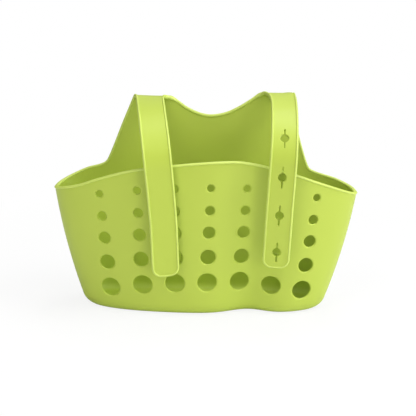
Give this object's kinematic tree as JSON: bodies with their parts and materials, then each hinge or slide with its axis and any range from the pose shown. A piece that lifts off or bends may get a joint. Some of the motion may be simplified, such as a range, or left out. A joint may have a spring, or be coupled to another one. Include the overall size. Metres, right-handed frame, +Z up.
{
  "type": "kitchen sink caddy",
  "caption": "Soft moulded sink caddy: a perforated tub with a taller wavy back panel and bendable straps that close with a snap stud and button holes.",
  "frame": {"origin": "centre of the flat base, on the surface it stands on", "axes": "+X to the viewer's right along the tub, +Y towards the taller back panel, +Z up; the perforated wall faces -Y"},
  "size_m": [0.2014, 0.0724, 0.1434],
  "materials": {
    "soft_body": "satin lime-green soft moulding"
  },
  "bodies": {
    "basket": {"basket": "soft_body"},
    "stud_strap_fold": {"stud_strap_fold": "soft_body"},
    "stud_strap_root": {"stud_strap_root": "soft_body"},
    "stud_strap_upper": {"stud_strap_upper": "soft_body"},
    "stud_strap_middle": {"stud_strap_middle": "soft_body"},
    "stud_strap_lower": {"stud_strap_lower": "soft_body"},
    "stud_strap_tip": {"stud_strap_tip": "soft_body", "snap_stud": "soft_body"},
    "buttonhole_strap_fold": {"buttonhole_strap_fold": "soft_body"},
    "buttonhole_strap_root": {"buttonhole_strap_root": "soft_body"},
    "buttonhole_strap_upper": {"buttonhole_strap_upper": "soft_body"},
    "buttonhole_strap_middle": {"buttonhole_strap_middle": "soft_body"},
    "buttonhole_strap_lower": {"buttonhole_strap_lower": "soft_body"},
    "buttonhole_strap_tip": {"buttonhole_strap_tip": "soft_body"}
  },
  "joints": [
    {"name": "stud_strap_fold_over", "type": "hinge", "parent": "basket", "child": "stud_strap_fold", "pos_m": [-0.0401, 0.03042, 0.13603], "axis": [-1, 0, 0], "range_deg": [0, 120]},
    {"name": "stud_strap_fold_top", "type": "hinge", "parent": "stud_strap_fold", "child": "stud_strap_root", "pos_m": [-0.0401, 0.02736, 0.1386], "axis": [-1, 0, 0], "range_deg": [0, 120]},
    {"name": "stud_strap_curl", "type": "hinge", "parent": "stud_strap_root", "child": "stud_strap_upper", "pos_m": [-0.03409, -0.01917, 0.12714], "axis": [-0.9907, -0.1076, -0.0828], "range_deg": [0, 40]},
    {"name": "stud_strap_curl_middle", "type": "hinge", "parent": "stud_strap_upper", "child": "stud_strap_middle", "pos_m": [-0.03006, -0.03738, 0.10262], "axis": [-0.9907, -0.1076, -0.0828], "range_deg": [0, 40]},
    {"name": "stud_strap_curl_lower", "type": "hinge", "parent": "stud_strap_middle", "child": "stud_strap_lower", "pos_m": [-0.02804, -0.0371, 0.07803], "axis": [-0.9907, -0.1076, -0.0828], "range_deg": [0, 40]},
    {"name": "stud_strap_curl_tip", "type": "hinge", "parent": "stud_strap_lower", "child": "stud_strap_tip", "pos_m": [-0.02607, -0.03625, 0.05343], "axis": [-0.9907, -0.1076, -0.0828], "range_deg": [0, 40]},
    {"name": "buttonhole_strap_fold_over", "type": "hinge", "parent": "basket", "child": "buttonhole_strap_fold", "pos_m": [0.0514, 0.03013, 0.13943], "axis": [-1, 0, 0], "range_deg": [0, 120]},
    {"name": "buttonhole_strap_fold_top", "type": "hinge", "parent": "buttonhole_strap_fold", "child": "buttonhole_strap_root", "pos_m": [0.0514, 0.02706, 0.142], "axis": [-1, 0, 0], "range_deg": [0, 120]},
    {"name": "buttonhole_strap_curl", "type": "hinge", "parent": "buttonhole_strap_root", "child": "buttonhole_strap_upper", "pos_m": [0.04881, -0.01739, 0.13212], "axis": [-0.9983, 0.0523, 0.0262], "range_deg": [0, 40]},
    {"name": "buttonhole_strap_curl_middle", "type": "hinge", "parent": "buttonhole_strap_upper", "child": "buttonhole_strap_middle", "pos_m": [0.04713, -0.03806, 0.10913], "axis": [-0.9983, 0.0523, 0.0262], "range_deg": [0, 40]},
    {"name": "buttonhole_strap_curl_lower", "type": "hinge", "parent": "buttonhole_strap_middle", "child": "buttonhole_strap_lower", "pos_m": [0.04649, -0.03793, 0.08454], "axis": [-0.9983, 0.0523, 0.0262], "range_deg": [0, 40]},
    {"name": "buttonhole_strap_curl_tip", "type": "hinge", "parent": "buttonhole_strap_lower", "child": "buttonhole_strap_tip", "pos_m": [0.04596, -0.03565, 0.05995], "axis": [-0.9983, 0.0523, 0.0262], "range_deg": [0, 40]}
  ],
  "couplings": [
    {"joint": "stud_strap_fold_top", "follows": "stud_strap_fold_over", "ratio": 1},
    {"joint": "stud_strap_curl_middle", "follows": "stud_strap_curl", "ratio": 1},
    {"joint": "stud_strap_curl_lower", "follows": "stud_strap_curl", "ratio": 1},
    {"joint": "stud_strap_curl_tip", "follows": "stud_strap_curl", "ratio": 1},
    {"joint": "buttonhole_strap_fold_top", "follows": "buttonhole_strap_fold_over", "ratio": 1},
    {"joint": "buttonhole_strap_curl_middle", "follows": "buttonhole_strap_curl", "ratio": 1},
    {"joint": "buttonhole_strap_curl_lower", "follows": "buttonhole_strap_curl", "ratio": 1},
    {"joint": "buttonhole_strap_curl_tip", "follows": "buttonhole_strap_curl", "ratio": 1}
  ]
}
